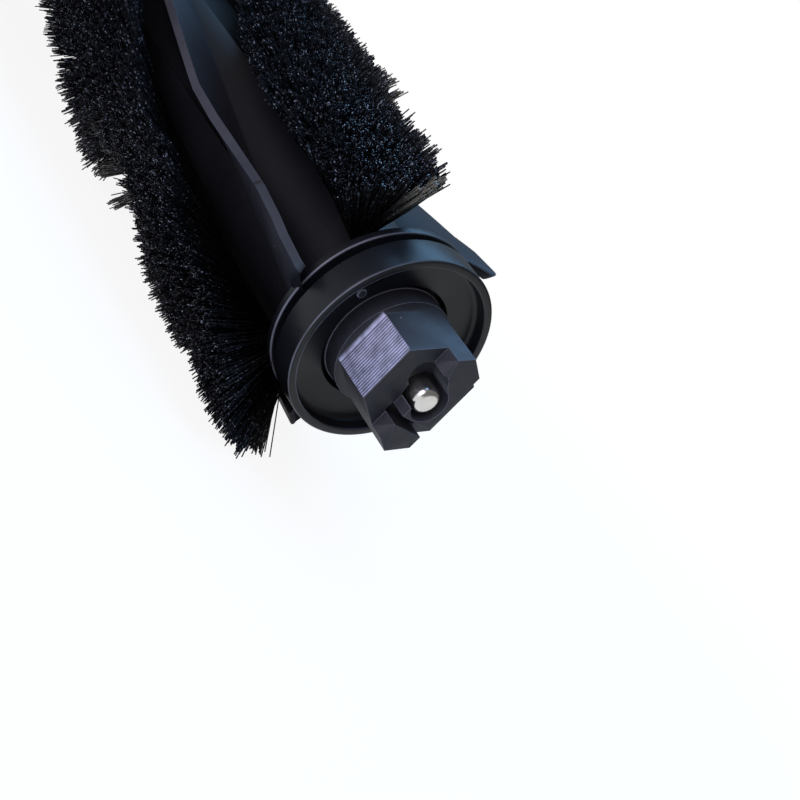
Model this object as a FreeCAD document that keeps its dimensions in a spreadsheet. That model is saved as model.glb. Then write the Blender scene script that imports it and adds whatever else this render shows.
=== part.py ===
import FreeCAD, Part
import Sketcher
import math
import os

# Robot vacuum roller brush: a plastic core with three rubber blades and three bristle rows
# in a V, an end cap at each end, and a bearing bush that runs on a steel pin.
# The roller lies along Y. The bearing end is at the origin and points to -Y; Z is up.

doc = FreeCAD.newDocument("roller_brush")
sheet = doc.addObject("Spreadsheet::Sheet", "dims")

# Driving dimensions in mm and degrees. Angles count from +X towards +Z, seen from the bearing end.
SIZES = [
    ("rim_radius", "14.3", "outside of each end cup"),
    ("rim_wall", "1.2", "wall of the cup at its rim"),
    ("rim_break", "0.35", "chamfer on the rim's outer edge"),
    ("cup_width", "4.4", "cup from its rim to the hair groove"),
    ("groove_width", "1.4", "hair groove between cup and flange"),
    ("groove_radius", "12.2", "bottom of the hair groove"),
    ("flange_thick", "1.2", "flange that the strips end at"),
    ("flange_radius", "14.2", "outside of the flange"),
    ("floor_depth", "2.1", "cup floor at the bush"),
    ("floor_edge", "2.0", "cup floor at the cup wall"),
    ("pocket_play", "0.65", "open ring between the bush and the cup floor"),
    ("peg_radius", "0.7", "small moulded peg on the cup floor"),
    ("peg_ring", "12.0", "axis to the peg"),
    ("peg_angle", "108.7", "direction of the peg, before the roller is laid down"),
    ("peg_level", "0.3", "rim plane to the peg's top"),
    ("peg_long", "3.0", "length of the peg, its root in the floor included"),
    ("pocket_depth", "5.2", "rim plane to the seat of the thrust washer"),
    ("pin_radius", "2.0", "steel axle pin"),
    ("pin_reach", "9.7", "pin in front of the rim plane"),
    ("pin_break", "0.5", "chamfer on the pin's free end"),
    ("spigot_side", "9.0", "square spigot of each cap and its socket in the core"),
    ("spigot_long", "12.0", "length of the spigots"),
    ("core_radius", "10.0", "outside of the core"),
    ("rim_span", "160.0", "rim plane to rim plane"),
    ("washer_radius", "6.0", "outside of the thrust washer"),
    ("washer_thick", "0.5", "thrust washer"),
    ("washer_play", "0.1", "radial play of the washer on the pin"),
    ("run_play", "0.05", "running clearance of the bush, on the pin and endways"),
    ("collar_step", "0.07", "collar of the bush outside the hexagon's corners"),
    ("collar_reach", "0.2", "collar in front of the rim plane"),
    ("hex_flats", "14.0", "hexagon across flats"),
    ("hex_reach", "7.6", "rim plane to the hexagon's low face"),
    ("bar_reach", "10.1", "rim plane to the top of the cross bar"),
    ("bar_left", "2.2", "axis to the bar's side towards the ribbed face"),
    ("bar_right", "3.2", "axis to the bar's other side"),
    ("slot_near", "2.85", "axis to the near wall of the slot through the bar"),
    ("slot_far", "4.3", "axis to the far wall of that slot"),
    ("slot_depth", "1.0", "floor of the slot below the low face"),
    ("well_radius", "2.6", "well round the pin"),
    ("well_depth", "1.6", "well below the low face"),
    ("side_radius", "2.1", "round recess at the side of the well"),
    ("side_towards", "1.9", "axis to its centre, towards the ribbed face"),
    ("side_along", "2.2", "axis to its centre, along the bar away from the slot"),
    ("side_depth", "0.8", "recess below the low face"),
    ("rib_pitch", "0.4", "ribs on one face of the hexagon"),
    ("rib_depth", "0.2", "depth of the grooves between ribs"),
    ("rib_count", "16", "grooves in that face"),
    ("rib_margin", "0.3", "plain strip between the last groove and the low face"),
    ("cut_margin", "0.3", "how far a cut starts outside its piece"),
    ("bush_angle", "130.3", "direction the ribbed face looks, before the roller is laid down"),
    ("shank_side", "7.0", "square drive shank at the far end"),
    ("shank_reach", "8.0", "shank beyond the far rim plane"),
    ("drive_floor", "2.0", "depth of the far cup"),
    ("seat_depth", "1.6", "depth of the slots for blades and spines"),
    ("slot_bottom", "1.7", "half width of a slot at its bottom"),
    ("slot_neck", "1.2", "half width of a slot at the core's surface"),
    ("strip_gap", "3.0", "flange to the first bristles"),
    ("root_start_angle", "149.0", "root of the first blade at the flange"),
    ("root_turn_rate", "0.92", "degrees that a root turns per mm towards the middle"),
    ("tip_start_angle", "125.5", "free edge of the first blade at the flange"),
    ("tip_bend_angle", "118.5", "its free edge at the bend"),
    ("tip_middle_angle", "95.5", "its free edge at mid length"),
    ("row_start_angle", "126.0", "middle of a bristle row's tips at the flange, less one step"),
    ("row_bend_angle", "112.0", "middle of those tips at the bend"),
    ("row_middle_angle", "68.0", "middle of those tips at mid length"),
    ("bend_along", "36.0", "flange to the bend of blades and rows"),
    ("blade_rise", "3.1", "free edge of a blade outside the flange"),
    ("knee_rise", "0.65", "curl of a blade outside the flange's edge"),
    ("knee_share", "0.18", "share of the lean that is below the curl"),
    ("knee_half", "0.8", "half thickness of a blade at the curl"),
    ("tip_half", "0.6", "half thickness of a blade at its edge"),
    ("hang_angle", "22.0", "how far the second blade hangs down at the bearing end"),
    ("hang_along", "30.0", "length over which it hangs"),
    ("blade_over", "2.8", "free corner of a blade beyond the flange's back"),
    ("spine_rise", "1.0", "top of a bristle spine above the core"),
    ("spine_half", "1.5", "half width of a spine's top"),
    ("bundle_rise", "0.6", "where the tufts part from each other above the spine"),
    ("tuft_radius", "22.0", "tips of the bristles"),
    ("tuft_drop", "0.7", "how much shorter the shorter tufts are"),
    ("fan_half_angle", "23.0", "half the angle a bristle row fans out to"),
    ("tuft_gap_angle", "2.0", "between neighbouring tufts at the tips"),
    ("tuft_space", "0.25", "half the space between tufts along the row"),
    ("end_splay", "1.1", "spread of the tips along the row"),
    ("strip_angle", "120.0", "from a strip to the next of its kind"),
    ("nil", "0", "on the axis or in the rim plane"),
    ("flange_front", "=cup_width + groove_width", ""),
    ("flange_back", "=flange_front + flange_thick", ""),
    ("rim_inner", "=rim_radius - rim_wall", ""),
    ("rim_flat", "=rim_radius - rim_break", ""),
    ("drive_inner", "=flange_radius - rim_wall", ""),
    ("spigot_end", "=flange_back + spigot_long", ""),
    ("spigot_half", "=spigot_side / 2", ""),
    ("pin_flat", "=pin_radius - pin_break", ""),
    ("pin_long", "=pin_reach + spigot_end", ""),
    ("pin_side", "=pin_long - pin_break", ""),
    ("washer_bore", "=pin_radius + washer_play", ""),
    ("bush_inner", "=pocket_depth - washer_thick - run_play", ""),
    ("bush_bore", "=pin_radius + run_play", ""),
    ("hex_half", "=hex_flats / 2", ""),
    ("hex_corner", "=hex_flats / sqrt(3)", ""),
    ("hex_shoulder", "=hex_corner / 2", ""),
    ("collar_radius", "=hex_corner + collar_step", ""),
    ("collar_top", "=bush_inner + collar_reach", ""),
    ("pocket_radius", "=collar_radius + pocket_play", ""),
    ("hex_top", "=bush_inner + hex_reach", ""),
    ("bar_top", "=bush_inner + bar_reach", ""),
    ("bar_left_end", "=hex_corner - bar_left / sqrt(3)", ""),
    ("bar_right_end", "=hex_corner - bar_right / sqrt(3)", ""),
    ("bar_rise", "=bar_top - hex_top", ""),
    ("well_cut", "=bar_rise + well_depth", ""),
    ("side_cut", "=bar_rise + side_depth", ""),
    ("slot_cut", "=bar_rise + slot_depth", ""),
    ("slot_left", "=bar_left + cut_margin", ""),
    ("slot_right", "=bar_right + cut_margin", ""),
    ("rib_top", "=hex_top - rib_margin", ""),
    ("rib_mid", "=rib_top - rib_pitch / 2", ""),
    ("rib_foot", "=rib_top - rib_pitch", ""),
    ("rib_floor", "=hex_half - rib_depth", ""),
    ("rib_out", "=hex_half + cut_margin", ""),
    ("rib_run", "=rib_pitch * (rib_count - 1)", ""),
    ("shank_half", "=shank_side / 2", ""),
    ("shank_long", "=shank_reach + drive_floor", ""),
    ("core_long", "=rim_span - 2 * flange_back", ""),
    ("mid_along", "=rim_span / 2", ""),
    ("seat_radius", "=core_radius - seat_depth", ""),
    ("spine_radius", "=core_radius + spine_rise", ""),
    ("bundle_radius", "=spine_radius + bundle_rise", ""),
    ("strip_first", "=flange_back + strip_gap", ""),
    ("blade_radius", "=flange_radius + blade_rise", ""),
    ("knee_radius", "=flange_radius + knee_rise", ""),
    ("row_step_angle", "=strip_angle / 2", "from a blade to the next bristle row"),
    ("row_mean_angle", "=(row_start_angle + row_middle_angle) / 2", ""),
    ("rest_angle", "=270 - row_mean_angle - strip_angle", "turn that lays the roller on its rows"),
    ("peg_across", "=peg_ring * cos(peg_angle + rest_angle)", ""),
    ("peg_down", "=-peg_ring * sin(peg_angle + rest_angle)", ""),
]
for index, (alias, value, note) in enumerate(SIZES):
    cell = "B%d" % (index + 1)
    sheet.set("A%d" % (index + 1), alias)
    sheet.set(cell, value)
    sheet.setAlias(cell, alias)
    sheet.set("C%d" % (index + 1), note)
doc.recompute()


def size(alias):
    return float(sheet.get(alias))


# Sketches: every corner is tied to the sheet by its two aliases, a leading minus turns the sign.
def signed(alias):
    if alias.startswith("-"):
        return -size(alias[1:])
    return size(alias)


def tie_point(sketch, geo, pos, across, upward):
    for kind, alias, axis in (("DistanceX", across, -2), ("DistanceY", upward, -1)):
        if alias == "nil":
            sketch.addConstraint(Sketcher.Constraint("PointOnObject", geo, pos, axis))
            continue
        number = sketch.addConstraint(Sketcher.Constraint(kind, -1, 1, geo, pos, signed(alias)))
        sign = "-" if alias.startswith("-") else ""
        sketch.setExpression("Constraints[%d]" % number, "%sdims.%s" % (sign, alias.lstrip("-")))


def new_sketch(body, name, role, raised=None):
    sketch = body.newObject("Sketcher::SketchObject", name)
    plane = [item for item in body.Origin.OriginFeatures if item.Role == role][0]
    sketch.AttachmentSupport = [(plane, "")]
    sketch.MapMode = "FlatFace"
    if raised:
        sketch.AttachmentOffset = FreeCAD.Placement(FreeCAD.Vector(0, 0, size(raised)), FreeCAD.Rotation())
        sketch.setExpression(".AttachmentOffset.Base.z", "dims.%s" % raised)
    return sketch


def outline(body, name, role, corners, raised=None):
    sketch = new_sketch(body, name, role, raised)
    count = len(corners)
    spots = [FreeCAD.Vector(signed(a), signed(b), 0) for a, b in corners]
    for i in range(count):
        sketch.addGeometry(Part.LineSegment(spots[i], spots[(i + 1) % count]), False)
    for i in range(count):
        sketch.addConstraint(Sketcher.Constraint("Coincident", i, 2, (i + 1) % count, 1))
    for i, (across, upward) in enumerate(corners):
        tie_point(sketch, i, 1, across, upward)
    return sketch


def circle(body, name, radius, raised=None, centre=("nil", "nil")):
    sketch = new_sketch(body, name, "XY_Plane", raised)
    middle = FreeCAD.Vector(signed(centre[0]), signed(centre[1]), 0)
    sketch.addGeometry(Part.Circle(middle, FreeCAD.Vector(0, 0, 1), size(radius)), False)
    tie_point(sketch, 0, 3, *centre)
    number = sketch.addConstraint(Sketcher.Constraint("Radius", 0, size(radius)))
    sketch.setExpression("Constraints[%d]" % number, "dims.%s" % radius)
    return sketch


def new_body(label):
    body = doc.addObject("PartDesign::Body", label)
    body.Label = label
    return body


def turned(body, name, corners):
    sketch = outline(body, name + "_profile", "XZ_Plane", corners)
    feature = body.newObject("PartDesign::Revolution", name)
    feature.Profile = sketch
    feature.ReferenceAxis = (sketch, ["V_Axis"])
    feature.Angle = 360
    sketch.Visibility = False
    return feature


def pad(body, name, sketch, length):
    feature = body.newObject("PartDesign::Pad", name)
    feature.Profile = sketch
    feature.Length = size(length)
    feature.setExpression("Length", "dims.%s" % length)
    return feature


def pocket(body, name, sketch, length=None):
    feature = body.newObject("PartDesign::Pocket", name)
    feature.Profile = sketch
    if length:
        feature.Length = size(length)
        feature.setExpression("Length", "dims.%s" % length)
    else:
        feature.Type = "ThroughAll"
        feature.Midplane = True
    return feature


# Local Z of a turned piece runs along the roller: away from the bearing end, or towards it.
AWAY = FreeCAD.Rotation(FreeCAD.Vector(1, 0, 0), -90)
TOWARDS = FreeCAD.Rotation(FreeCAD.Vector(1, 0, 0), 90)


def place(piece, rotation, along, spin=0.0):
    turn = rotation.multiply(FreeCAD.Rotation(FreeCAD.Vector(0, 0, 1), spin))
    piece.Placement = FreeCAD.Placement(FreeCAD.Vector(0, size(along), 0), turn)
    piece.setExpression(".Placement.Base.y", "dims.%s" % along)


def square(body, name, half, raised=None):
    return outline(body, name, "XY_Plane", [
        (half, half),
        ("-" + half, half),
        ("-" + half, "-" + half),
        (half, "-" + half),
    ], raised)


# Square spigot on the inner side of a cap, a press fit in its socket in the core
def add_spigot(cap, name):
    key = square(cap, name + "_outline", "spigot_half", "flange_back")
    pad(cap, name, key, "spigot_long")


# Bearing end cap: cup, hair groove, flange and keyed spigot in one moulding
bearing_cap = new_body("bearing_end_cap")
turned(bearing_cap, "bearing_cap_turn", [
    ("rim_inner", "nil"),
    ("rim_flat", "nil"),
    ("rim_radius", "rim_break"),
    ("rim_radius", "cup_width"),
    ("groove_radius", "cup_width"),
    ("groove_radius", "flange_front"),
    ("flange_radius", "flange_front"),
    ("flange_radius", "flange_back"),
    ("nil", "flange_back"),
    ("nil", "pocket_depth"),
    ("pocket_radius", "pocket_depth"),
    ("pocket_radius", "floor_depth"),
    ("rim_inner", "floor_edge"),
])
add_spigot(bearing_cap, "bearing_spigot")
peg = circle(bearing_cap, "peg_outline", "peg_radius", "peg_level", ("peg_across", "peg_down"))
pad(bearing_cap, "peg", peg, "peg_long")
pocket(bearing_cap, "pin_hole", circle(bearing_cap, "pin_hole_outline", "pin_radius"))
place(bearing_cap, AWAY, "nil")

# Drive end cap: a plain cup with a keyed spigot and a square shank
drive_cap = new_body("drive_end_cap")
turned(drive_cap, "drive_cap_turn", [
    ("drive_inner", "nil"),
    ("flange_radius", "nil"),
    ("flange_radius", "flange_back"),
    ("nil", "flange_back"),
    ("nil", "drive_floor"),
    ("drive_inner", "drive_floor"),
])
add_spigot(drive_cap, "drive_spigot")
shank = pad(drive_cap, "shank", square(drive_cap, "shank_outline", "shank_half", "drive_floor"), "shank_long")
shank.Reversed = True
place(drive_cap, TOWARDS, "rim_span")

# Axle pin, pressed into the bearing end cap
axle_pin = new_body("axle_pin")
turned(axle_pin, "pin_turn", [
    ("nil", "nil"),
    ("pin_radius", "nil"),
    ("pin_radius", "pin_side"),
    ("pin_flat", "pin_long"),
    ("nil", "pin_long"),
])
place(axle_pin, TOWARDS, "spigot_end")

# Thrust washer between the cap's pocket and the bush
washer = new_body("thrust_washer")
turned(washer, "washer_turn", [
    ("washer_bore", "nil"),
    ("washer_radius", "nil"),
    ("washer_radius", "washer_thick"),
    ("washer_bore", "washer_thick"),
])
place(washer, TOWARDS, "pocket_depth")

# Bearing bush: round collar, hexagon with one ribbed face, and a cut cross bar on the front
bush = new_body("bearing_bush")
turned(bush, "collar", [
    ("bush_bore", "nil"),
    ("collar_radius", "nil"),
    ("collar_radius", "collar_top"),
    ("bush_bore", "collar_top"),
])
hexagon = outline(bush, "hexagon_outline", "XY_Plane", [
    ("hex_half", "-hex_shoulder"),
    ("hex_half", "hex_shoulder"),
    ("nil", "hex_corner"),
    ("-hex_half", "hex_shoulder"),
    ("-hex_half", "-hex_shoulder"),
    ("nil", "-hex_corner"),
])
pad(bush, "hexagon", hexagon, "hex_top")
bar = outline(bush, "bar_outline", "XY_Plane", [
    ("bar_left", "-bar_left_end"),
    ("bar_left", "bar_left_end"),
    ("nil", "hex_corner"),
    ("-bar_right", "bar_right_end"),
    ("-bar_right", "-bar_right_end"),
    ("nil", "-hex_corner"),
])
pad(bush, "cross_bar", bar, "bar_top")
slot = outline(bush, "slot_outline", "XY_Plane", [
    ("-slot_right", "slot_near"),
    ("slot_left", "slot_near"),
    ("slot_left", "slot_far"),
    ("-slot_right", "slot_far"),
], "bar_top")
pocket(bush, "bar_slot", slot, "slot_cut")
pocket(bush, "pin_well", circle(bush, "well_outline", "well_radius", "bar_top"), "well_cut")
recess = circle(bush, "side_outline", "side_radius", "bar_top", ("side_towards", "-side_along"))
pocket(bush, "side_recess", recess, "side_cut")
pocket(bush, "running_bore", circle(bush, "bore_outline", "bush_bore"))
rib = outline(bush, "rib_outline", "XZ_Plane", [
    ("rib_out", "rib_foot"),
    ("rib_out", "rib_top"),
    ("hex_half", "rib_top"),
    ("rib_floor", "rib_mid"),
    ("hex_half", "rib_foot"),
])
rib_cut = pocket(bush, "rib_groove", rib)
rib_rows = bush.newObject("PartDesign::LinearPattern", "rib_grooves")
rib_rows.Originals = [rib_cut]
rib_rows.Direction = (rib, ["V_Axis"])
rib_rows.Reversed = True
rib_rows.Length = size("rib_run")
rib_rows.setExpression("Length", "dims.rib_run")
rib_rows.Occurrences = int(size("rib_count"))
rib_rows.setExpression("Occurrences", "dims.rib_count")
bush.Tip = rib_rows
place(bush, TOWARDS, "bush_inner", size("bush_angle") + size("rest_angle"))

# Blade and bristle paths: the roots turn evenly to mid length, free edges and tips have a bend
HALF_STEPS = 8
SEAM = 0.0001


def stations():
    half = size("mid_along")
    first = size("strip_first")
    near = [size("flange_back")]
    for i in range(HALF_STEPS + 1):
        near.append(first + (half - first) * i / HALF_STEPS)
    return near + [2 * half - y for y in reversed(near[:-1])]


def from_end(y):
    return min(y, size("rim_span") - y) - size("flange_back")


def root_angle(y):
    return size("root_start_angle") - size("root_turn_rate") * from_end(y) + size("rest_angle")


def bent_angle(y, start, bend, end):
    along = max(from_end(y), 0.0)
    knee = size("bend_along")
    whole = size("mid_along") - size("flange_back")
    if along <= knee:
        turn = size(start) + (size(bend) - size(start)) * along / knee
    else:
        turn = size(bend) + (size(end) - size(bend)) * (along - knee) / (whole - knee)
    return turn + size("rest_angle")


def tip_angle(y):
    return bent_angle(y, "tip_start_angle", "tip_bend_angle", "tip_middle_angle")


def row_angle(y):
    return bent_angle(y, "row_start_angle", "row_bend_angle", "row_middle_angle")


def polar(radius, degrees):
    turn = math.radians(degrees)
    return (radius * math.cos(turn), radius * math.sin(turn))


def beside(degrees, radial, aside):
    turn = math.radians(degrees)
    x = radial * math.cos(turn) - aside * math.sin(turn)
    z = radial * math.sin(turn) + aside * math.cos(turn)
    return (x, z)


def seat(angle):
    return {
        "low": [beside(angle, size("seat_radius"), side * size("slot_bottom")) for side in (1, -1)],
        "neck": [beside(angle, size("core_radius"), side * size("slot_neck")) for side in (1, -1)],
    }


# A solid from rings of points: each ring is a section, neighbours are joined by triangles
def ringed_solid(rings):
    points = [FreeCAD.Vector(*spot) for ring in rings for spot in ring]
    count = len(rings[0])
    facets = []
    for i in range(len(rings) - 1):
        for j in range(count):
            a = i * count + j
            b = i * count + (j + 1) % count
            facets.append((a, b, b + count))
            facets.append((a, b + count, a + count))
    return points, facets


def cap_ends(facets, count, total, strips):
    for a, b, c in strips:
        facets.append((c, b, a))
        facets.append((total - count + a, total - count + b, total - count + c))


def as_solid(points, facets):
    shell = Part.Shape()
    shell.makeShapeFromMesh((points, facets), SEAM)
    solid = Part.makeSolid(Part.Shell(shell.Faces))
    if solid.Volume < 0:
        solid.reverse()
    return solid


def with_y(pairs, y):
    return [(x, y, z) for x, z in pairs]


BLADE_CAP = [(0, 1, 6), (0, 6, 7), (1, 2, 5), (1, 5, 6), (2, 3, 4), (2, 4, 5)]
SPINE_CAP = [(0, 1, 4), (0, 4, 5), (1, 2, 3), (1, 3, 4)]


def hanging(y):
    return size("hang_angle") * max(0.0, 1 - (y - size("flange_back")) / size("hang_along"))


def blade_ring(y, step, hang=0.0):
    root = root_angle(y) + step
    tip = tip_angle(y) + step - hang
    base = seat(root)
    knee = polar(size("knee_radius"), root + (tip - root) * size("knee_share"))
    edge = polar(size("blade_radius"), tip)
    foot = polar(size("core_radius"), root)

    def across(start, end, half):
        dx, dz = end[0] - start[0], end[1] - start[1]
        long = math.hypot(dx, dz)
        return (-dz / long * half, dx / long * half)

    k = across(foot, edge, size("knee_half"))
    t = across(knee, edge, size("tip_half"))
    edge_y = y
    if from_end(y) < SEAM:
        edge_y += size("blade_over") * (-1 if y < size("mid_along") else 1)
    ring = with_y([base["low"][0], base["neck"][0], (knee[0] + k[0], knee[1] + k[1])], y)
    ring += with_y([(edge[0] + t[0], edge[1] + t[1]), (edge[0] - t[0], edge[1] - t[1])], edge_y)
    ring += with_y([(knee[0] - k[0], knee[1] - k[1]), base["neck"][1], base["low"][1]], y)
    return ring


def spine_ring(y, step):
    root = root_angle(y) + step
    base = seat(root)
    top = [beside(root, size("spine_radius"), side * size("spine_half")) for side in (1, -1)]
    return with_y([base["low"][0], base["neck"][0], top[0], top[1], base["neck"][1], base["low"][1]], y)


def slot_ring(y, step, shift=0.0):
    root = root_angle(y) + step
    base = seat(root)
    above = [beside(root, size("spine_radius"), side * size("slot_neck")) for side in (1, -1)]
    pairs = [base["low"][0], base["neck"][0], above[0], above[1], base["neck"][1], base["low"][1]]
    return with_y(pairs, y + shift)


def strip(rings, cap):
    points, facets = ringed_solid(rings)
    cap_ends(facets, len(rings[0]), len(points), cap)
    return as_solid(points, facets)


# Bristle tufts: flared tufts side by side, two to every step of the spine, of several lengths in turn
COLUMNS = 3
LENGTHS = 5
STEP_STRIDE = 2
COLUMN_STRIDE = 3


class Facets:
    def __init__(self):
        self.points = []
        self.faces = []

    def spot(self, x, z, y):
        self.points.append(FreeCAD.Vector(x, y, z))
        return len(self.points) - 1

    def face(self, a, b, c, flip=False):
        self.faces.append((a, c, b) if flip else (a, b, c))


def across_spine(y, step, radial):
    root = root_angle(y) + step
    asides = [size("spine_half") * (1 - 2 * j / COLUMNS) for j in range(COLUMNS + 1)]
    return [beside(root, radial, aside) + (y,) for aside in asides]


def halfway(first, second):
    return [[(p + q) / 2 for p, q in zip(a, b)] for a, b in zip(first, second)]


# The bristles of a row are one bundle just above the spine; its top lines are where the tufts begin
def add_bundle(body, ys, step):
    floor = []
    top = []
    before = None
    for y in ys:
        low = across_spine(y, step, size("spine_radius"))
        floor.append((body.spot(*low[0]), body.spot(*low[-1])))
        line = across_spine(y, step, size("bundle_radius"))
        if before:
            top.append([body.spot(*item) for item in halfway(before, line)])
        top.append([body.spot(*item) for item in line])
        before = line
    for i in range(len(ys) - 1):
        a, b = floor[i]
        c, d = floor[i + 1]
        body.face(a, b, d)
        body.face(a, d, c)
        start, mid, end = top[2 * i:2 * i + 3]
        for low, following, column, flip in ((a, c, 0, False), (b, d, COLUMNS, True)):
            body.face(low, following, mid[column], flip)
            body.face(low, mid[column], start[column], flip)
            body.face(following, end[column], mid[column], flip)
    for (a, b), line, flip in ((floor[0], top[0], False), (floor[-1], top[-1], True)):
        corners = line + [b]
        for first, second in zip(corners[:-1], corners[1:]):
            body.face(a, first, second, flip)
    return top


def column_edges(column):
    half = size("fan_half_angle")
    width = 2 * half / COLUMNS
    gap = size("tuft_gap_angle") / 2
    upper = half - column * width - (gap if column > 0 else 0)
    lower = half - (column + 1) * width + (gap if column < COLUMNS - 1 else 0)
    return upper, lower


def add_tuft(body, low, high):
    for n in range(len(low)):
        m = (n + 1) % len(low)
        body.face(low[n], high[n], high[m])
        body.face(low[n], high[m], low[m])
    body.face(high[0], high[2], high[1])
    body.face(high[0], high[3], high[2])


def tuft_row(ys, step):
    body = Facets()
    top = add_bundle(body, ys, step)
    fine = [ys[0]]
    for y in ys[1:]:
        fine += [(fine[-1] + y) / 2, y]
    middle = size("mid_along")
    last = len(fine) - 2
    for i in range(last + 1):
        ends = []
        for y, inward in ((fine[i], 1), (fine[i + 1], -1)):
            spread = middle + (y - middle) * size("end_splay") + inward * size("tuft_space")
            ends.append((row_angle(y) + step, spread))
        for j in range(COLUMNS):
            length = (STEP_STRIDE * i + COLUMN_STRIDE * j) % LENGTHS / (LENGTHS - 1)
            radius = size("tuft_radius")
            if i not in (0, last):
                radius -= size("tuft_drop") * length
            tips = []
            for turn, y in ends:
                tips.append([body.spot(*polar(radius, turn + part), y) for part in column_edges(j)])
            low = [top[i][j], top[i][j + 1], top[i + 1][j + 1], top[i + 1][j]]
            add_tuft(body, low, [tips[0][0], tips[0][1], tips[1][1], tips[1][0]])
    return as_solid(body.points, body.faces)


# Core: a plain bar with a key socket in each end and six dovetail slots that run its length in a V
core_blank = new_body("core_blank")
pad(core_blank, "core_bar", circle(core_blank, "core_outline", "core_radius"), "core_long")
near_socket = pocket(core_blank, "near_socket", square(core_blank, "near_key", "spigot_half"), "spigot_long")
near_socket.Reversed = True
pocket(core_blank, "far_socket", square(core_blank, "far_key", "spigot_half", "core_long"), "spigot_long")
place(core_blank, AWAY, "flange_back")
along = stations()
middle = len(along) // 2
letters = "abc"
steps = [size("strip_angle") * k for k in range(len(letters))]
slots = []
for step in steps + [value + size("row_step_angle") for value in steps]:
    rings = [slot_ring(along[0], step, -size("cut_margin"))]
    rings += [slot_ring(y, step) for y in along]
    rings.append(slot_ring(along[-1], step, size("cut_margin")))
    slots.append(strip(rings, SPINE_CAP))
slot_tools = doc.addObject("Part::Feature", "slot_tools")
slot_tools.Shape = Part.makeCompound(slots)
roller_core = doc.addObject("Part::Cut", "roller_core")
roller_core.Label = "roller_core"
roller_core.Base = core_blank
roller_core.Tool = slot_tools

nodes = {
    "bearing_end_cap": bearing_cap,
    "drive_end_cap": drive_cap,
    "axle_pin": axle_pin,
    "thrust_washer": washer,
    "bearing_bush": bush,
    "roller_core": roller_core,
}


def add_shape(label, shape):
    piece = doc.addObject("Part::Feature", label)
    piece.Label = label
    piece.Shape = shape
    piece.Placement = FreeCAD.Placement()
    nodes[label] = piece


# Each strip is in two lengths, pushed in from its own end of the core up to mid length
for letter, step in zip(letters, steps):
    row = step + size("row_step_angle")
    for end, ys in (("near", along[:middle + 1]), ("far", along[middle:])):
        bristle_ys = ys[1:] if end == "near" else ys[:-1]
        hangs = [hanging(y) if letter == "b" else 0.0 for y in ys]
        blade = [blade_ring(y, step, hang) for y, hang in zip(ys, hangs)]
        add_shape("rubber_blade_%s_%s" % (letter, end), strip(blade, BLADE_CAP))
        add_shape("bristle_spine_%s_%s" % (letter, end), strip([spine_ring(y, row) for y in ys], SPINE_CAP))
        add_shape("bristle_row_%s_%s" % (letter, end), tuft_row(bristle_ys, row))

doc.recompute()

# Every piece is checked before it is written
for item in doc.Objects:
    for state in item.State:
        if state in ("Invalid", "Error"):
            raise RuntimeError("%s is %s" % (item.Label, state))
os.makedirs("parts", exist_ok=True)
for label, piece in nodes.items():
    shape = piece.Shape
    if shape.isNull() or not shape.isValid() or shape.Volume <= 0:
        raise RuntimeError("%s has no valid solid" % label)
    shape.exportStep("parts/%s.step" % label)
    print(label, "volume", round(shape.Volume, 2), "solids", len(shape.Solids))
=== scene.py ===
import bpy
import bmesh
import math
from mathutils import Matrix, Vector


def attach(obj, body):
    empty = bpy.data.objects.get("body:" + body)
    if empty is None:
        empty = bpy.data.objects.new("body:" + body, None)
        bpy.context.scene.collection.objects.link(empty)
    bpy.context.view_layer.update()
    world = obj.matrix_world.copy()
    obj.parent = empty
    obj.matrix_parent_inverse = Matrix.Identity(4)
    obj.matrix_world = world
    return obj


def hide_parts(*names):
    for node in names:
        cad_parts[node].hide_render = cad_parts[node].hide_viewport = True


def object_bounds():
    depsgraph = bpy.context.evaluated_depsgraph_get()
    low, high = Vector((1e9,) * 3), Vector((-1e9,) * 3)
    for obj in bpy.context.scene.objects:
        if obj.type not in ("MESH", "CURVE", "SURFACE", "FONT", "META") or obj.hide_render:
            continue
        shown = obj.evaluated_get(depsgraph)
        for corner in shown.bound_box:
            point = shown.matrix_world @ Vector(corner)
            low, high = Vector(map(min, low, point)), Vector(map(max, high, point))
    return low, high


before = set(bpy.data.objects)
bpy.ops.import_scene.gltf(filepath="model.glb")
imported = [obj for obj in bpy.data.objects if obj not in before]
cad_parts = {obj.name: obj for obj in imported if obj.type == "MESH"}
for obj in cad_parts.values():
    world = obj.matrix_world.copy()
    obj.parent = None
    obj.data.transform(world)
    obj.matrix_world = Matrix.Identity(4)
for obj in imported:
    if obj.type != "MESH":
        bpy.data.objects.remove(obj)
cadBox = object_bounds()
mm = 0.001
white = (1.0, 1.0, 1.0, 1.0)

# turn in degrees that lays the brush on its bristle rows, seen from the bearing end
restTurn = 53.0


def addNode(tree, kind, inputs=None, **settings):
    made = tree.nodes.new(kind)
    for key, value in settings.items():
        setattr(made, key, value)
    for key, value in (inputs or {}).items():
        if isinstance(value, bpy.types.NodeSocket):
            tree.links.new(value, made.inputs[key])
        else:
            made.inputs[key].default_value = value
    return made


def mathNode(tree, operation, a, b=0.0, clamp=False):
    made = addNode(tree, "ShaderNodeMath", {0: a, 1: b}, operation=operation, use_clamp=clamp)
    return made.outputs[0]


def vectorNode(tree, operation, a, b=None, scale=None):
    inputs = {0: a}
    if b is not None:
        inputs[1] = b
    if scale is not None:
        inputs["Scale"] = scale
    made = addNode(tree, "ShaderNodeVectorMath", inputs, operation=operation)
    return made.outputs["Value" if operation in ("DOT_PRODUCT", "LENGTH") else "Vector"]


def noise(tree, spot, scale, detail):
    inputs = {"Vector": spot, "Scale": scale, "Detail": detail}
    return addNode(tree, "ShaderNodeTexNoise", inputs).outputs[0]


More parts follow.
